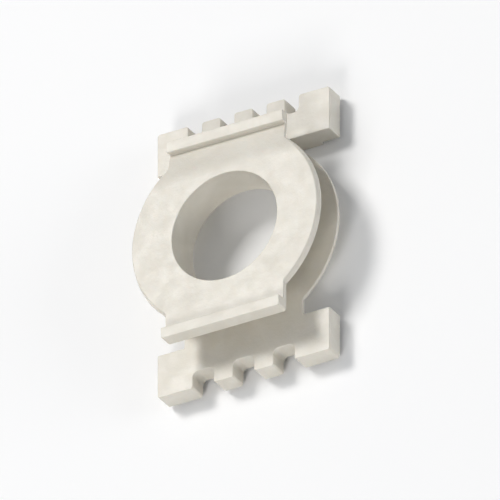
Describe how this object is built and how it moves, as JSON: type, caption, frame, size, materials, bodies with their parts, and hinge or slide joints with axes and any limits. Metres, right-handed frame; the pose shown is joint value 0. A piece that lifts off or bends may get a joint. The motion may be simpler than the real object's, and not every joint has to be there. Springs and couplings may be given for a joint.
{
  "type": "transformer bobbin",
  "caption": "One-piece moulded coil former: a short round barrel between two flanges whose necks carry lips and slotted wire blocks.",
  "frame": {"origin": "on the bore axis, in the plane of the ledges' backs that the bobbin lies on", "axes": "+Z along the bore axis towards the front flange and its lips, +Y towards the block with the narrower slots, +X across both blocks"},
  "size_m": [0.0218, 0.0304, 0.0074],
  "materials": {
    "moulded_plastic": "fine spark-eroded mould texture, natural off-white"
  },
  "bodies": {
    "root": {"bobbin": "moulded_plastic"}
  },
  "joints": []
}
